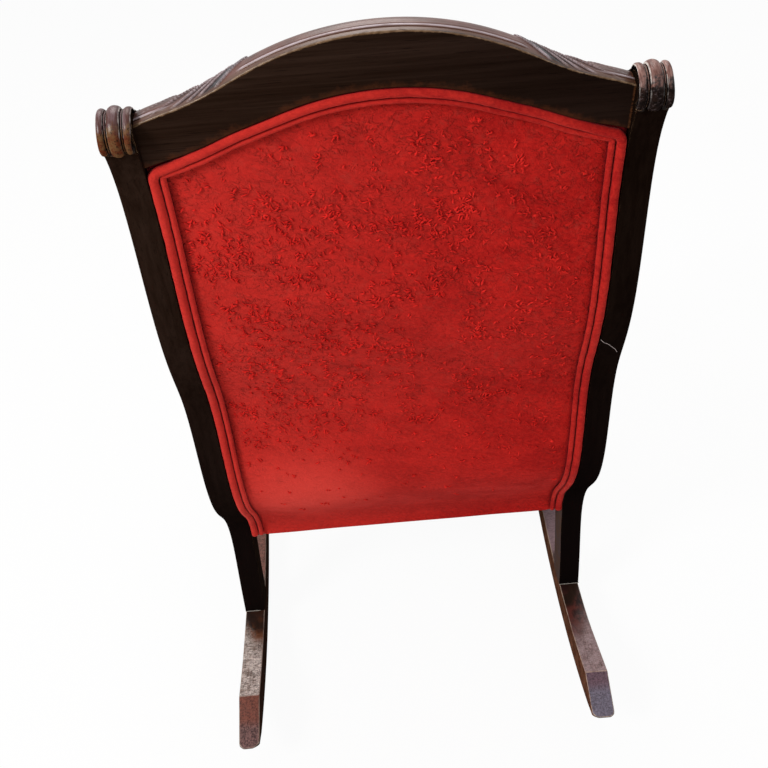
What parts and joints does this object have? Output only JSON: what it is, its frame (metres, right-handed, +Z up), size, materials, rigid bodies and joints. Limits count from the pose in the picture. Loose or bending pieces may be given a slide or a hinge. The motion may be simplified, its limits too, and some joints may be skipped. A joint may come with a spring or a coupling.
{
  "type": "rocking chair",
  "caption": "High-backed parlour rocking chair: sawn S-curved frame with rolled reeded ears and arched crest, on curved runners, with a sprung upholstered seat, arms and padded back.",
  "frame": {"origin": "on the floor, in the middle of the footprint of the two runners", "axes": "+Z up; +Y to the rear, where the outside back faces; +X across the chair, so that its two sides mirror each other"},
  "size_m": [0.568, 0.8492, 1.0514],
  "materials": {
    "dark_mahogany": "old shellac, dark and worn at the arrises",
    "plain_hardwood": "bare, unpolished",
    "red_velvet": "cut pile velvet with snags",
    "red_velvet_welt": "velvet-covered cord",
    "stuffing": "horsehair and cotton felt",
    "jute_webbing": "woven jute",
    "hessian": "open plain weave",
    "black_cambric": "glazed cotton",
    "spring_steel": "coppered wire, dulled",
    "iron": "blued"
  },
  "bodies": {
    "root": {"arm_dowels_left": "plain_hardwood", "arm_dowels_right": "plain_hardwood", "arm_left": "dark_mahogany", "arm_pad_cover_left": "red_velvet", "arm_pad_cover_right": "red_velvet", "arm_pad_left": "stuffing", "arm_pad_right": "stuffing", "arm_post_left": "dark_mahogany", "arm_post_right": "dark_mahogany", "arm_right": "dark_mahogany", "back_stuffing": "stuffing", "back_webbing_level": "jute_webbing", "back_webbing_upright": "jute_webbing", "corner_block_screws": "iron", "crest_dowels": "plain_hardwood", "crest_rail": "dark_mahogany", "dust_cover": "black_cambric", "dust_cover_tacks": "iron", "foot_dowels_left": "plain_hardwood", "foot_dowels_right": "plain_hardwood", "front_block_left": "plain_hardwood", "front_block_right": "plain_hardwood", "front_leg_left": "dark_mahogany", "front_leg_right": "dark_mahogany", "front_seat_rail": "dark_mahogany", "inner_back_welt": "red_velvet_welt", "inside_back_cover": "red_velvet", "outer_back_welt": "red_velvet_welt", "outside_back": "red_velvet", "rear_block_left": "plain_hardwood", "rear_block_right": "plain_hardwood", "rear_seat_rail": "plain_hardwood", "runner_left": "dark_mahogany", "runner_right": "dark_mahogany", "seat_cover": "red_velvet", "seat_springs": "spring_steel", "seat_stuffing": "stuffing", "seat_webbing_crosswise": "jute_webbing", "seat_webbing_lengthwise": "jute_webbing", "seat_welt": "red_velvet_welt", "side_seat_rail_left": "dark_mahogany", "side_seat_rail_right": "dark_mahogany", "spring_hessian": "hessian", "stay_rail": "plain_hardwood", "stile_left": "dark_mahogany", "stile_right": "dark_mahogany"}
  },
  "joints": []
}
